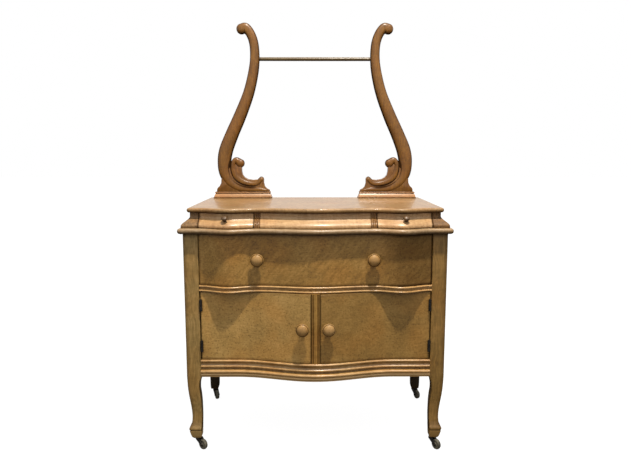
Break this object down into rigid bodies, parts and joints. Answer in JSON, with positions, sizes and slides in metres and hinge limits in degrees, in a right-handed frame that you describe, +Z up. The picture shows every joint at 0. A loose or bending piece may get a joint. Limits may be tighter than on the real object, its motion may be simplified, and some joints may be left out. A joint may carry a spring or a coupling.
{
  "type": "serpentine washstand with towel rack",
  "caption": "Wooden commode with a serpentine front, drawers over a two-door cupboard, and a lyre-shaped towel rack on top, on swivel casters.",
  "frame": {"origin": "middle of the bounding box's bottom face, on the floor", "axes": "+X to the viewer's right, the front faces -Y, +Z up"},
  "size_m": [0.836, 0.5123, 1.4022],
  "materials": {
    "maple": "satin lacquer over bird's-eye maple",
    "maple_light": "glossy lacquer over maple",
    "maple_dark": "satin lacquer over maple",
    "maple_knobs": "satin, turned",
    "inner_wood": "plain, unfinished",
    "black_iron": "black, worn",
    "steel_screws": "plain steel, aged",
    "wheel_wood": "worn hardwood"
  },
  "bodies": {
    "case": {"front_post_left": "maple", "front_post_right": "maple", "rear_posts": "maple_dark", "side_panel_left": "maple", "side_panel_right": "maple", "side_rails": "maple", "back_panel": "inner_wood", "top_board": "maple_light", "waist_board": "maple_light", "frieze_corner_left": "maple_light", "frieze_corner_right": "maple_light", "frieze_side_left": "maple_light", "frieze_side_right": "maple_light", "frieze_divider_left": "maple_light", "frieze_divider_right": "maple_light", "frieze_middle_panel": "maple_light", "frieze_back": "inner_wood", "frieze_guides": "inner_wood", "mid_rail": "maple_light", "dust_panel": "inner_wood", "drawer_runners": "inner_wood", "bottom_rail": "maple_light", "cupboard_floor": "inner_wood", "centre_stile": "maple", "glue_blocks": "inner_wood", "rack_plinth_left": "maple_light", "rack_plinth_right": "maple_light", "rack_upright_left": "maple_dark", "rack_upright_right": "maple_dark", "towel_rod": "maple_dark", "rack_screws": "steel_screws", "caster_sockets": "steel_screws", "hinge_leaves": "black_iron", "hinge_pins": "black_iron", "hinge_screws": "black_iron"},
    "big_drawer": {"drawer_front": "maple", "drawer_sides": "inner_wood", "drawer_back": "inner_wood", "drawer_bottom": "inner_wood", "drawer_knobs": "maple_knobs"},
    "small_drawer_left": {"small_drawer_front_left": "maple_light", "small_drawer_box_left": "inner_wood", "small_knob_left": "maple_knobs"},
    "small_drawer_right": {"small_drawer_front_right": "maple_light", "small_drawer_box_right": "inner_wood", "small_knob_right": "maple_knobs"},
    "door_left": {"door_left": "maple", "door_knob_left": "maple_knobs", "door_hinges_left": "black_iron"},
    "door_right": {"door_right": "maple", "door_knob_right": "maple_knobs", "door_hinges_right": "black_iron"},
    "caster_front_left": {"caster_front_left": "black_iron"},
    "caster_front_right": {"caster_front_right": "black_iron"},
    "caster_rear_left": {"caster_rear_left": "black_iron"},
    "caster_rear_right": {"caster_rear_right": "black_iron"},
    "wheel_front_left": {"wheel_front_left": "wheel_wood"},
    "wheel_front_right": {"wheel_front_right": "wheel_wood"},
    "wheel_rear_left": {"wheel_rear_left": "wheel_wood"},
    "wheel_rear_right": {"wheel_rear_right": "wheel_wood"}
  },
  "joints": [
    {"name": "big_drawer_slide", "type": "slide", "parent": "case", "child": "big_drawer", "axis": [0, -1, 0], "range_m": [0, 0.3]},
    {"name": "small_drawer_left_slide", "type": "slide", "parent": "case", "child": "small_drawer_left", "axis": [0, -1, 0], "range_m": [0, 0.22]},
    {"name": "small_drawer_right_slide", "type": "slide", "parent": "case", "child": "small_drawer_right", "axis": [0, -1, 0], "range_m": [0, 0.22]},
    {"name": "door_left_hinge", "type": "hinge", "parent": "case", "child": "door_left", "pos_m": [-0.353, -0.19255, 0.411], "axis": [0, 0, -1], "range_deg": [0, 105]},
    {"name": "door_right_hinge", "type": "hinge", "parent": "case", "child": "door_right", "pos_m": [0.353, -0.19255, 0.411], "axis": [0, 0, 1], "range_deg": [0, 105]},
    {"name": "swivel_front_left", "type": "hinge", "parent": "case", "child": "caster_front_left", "pos_m": [-0.3765, -0.16225, 0.038], "axis": [0, 0, 1], "continuous": true},
    {"name": "swivel_front_right", "type": "hinge", "parent": "case", "child": "caster_front_right", "pos_m": [0.3765, -0.16225, 0.038], "axis": [0, 0, 1], "continuous": true},
    {"name": "swivel_rear_left", "type": "hinge", "parent": "case", "child": "caster_rear_left", "pos_m": [-0.387, 0.24025, 0.038], "axis": [0, 0, 1], "continuous": true},
    {"name": "swivel_rear_right", "type": "hinge", "parent": "case", "child": "caster_rear_right", "pos_m": [0.387, 0.24025, 0.038], "axis": [0, 0, 1], "continuous": true},
    {"name": "wheel_spin_front_left", "type": "hinge", "parent": "caster_front_left", "child": "wheel_front_left", "pos_m": [-0.36074, -0.17456, 0.0165], "axis": [0.6157, 0.788, 0], "continuous": true},
    {"name": "wheel_spin_front_right", "type": "hinge", "parent": "caster_front_right", "child": "wheel_front_right", "pos_m": [0.38797, -0.17863, 0.0165], "axis": [0.8192, 0.5736, 0], "continuous": true},
    {"name": "wheel_spin_rear_left", "type": "hinge", "parent": "caster_rear_left", "child": "wheel_rear_left", "pos_m": [-0.37887, 0.22198, 0.0165], "axis": [0.9135, 0.4067, 0], "continuous": true},
    {"name": "wheel_spin_rear_right", "type": "hinge", "parent": "caster_rear_right", "child": "wheel_rear_right", "pos_m": [0.39449, 0.22171, 0.0165], "axis": [0.9272, 0.3746, 0], "continuous": true}
  ]
}
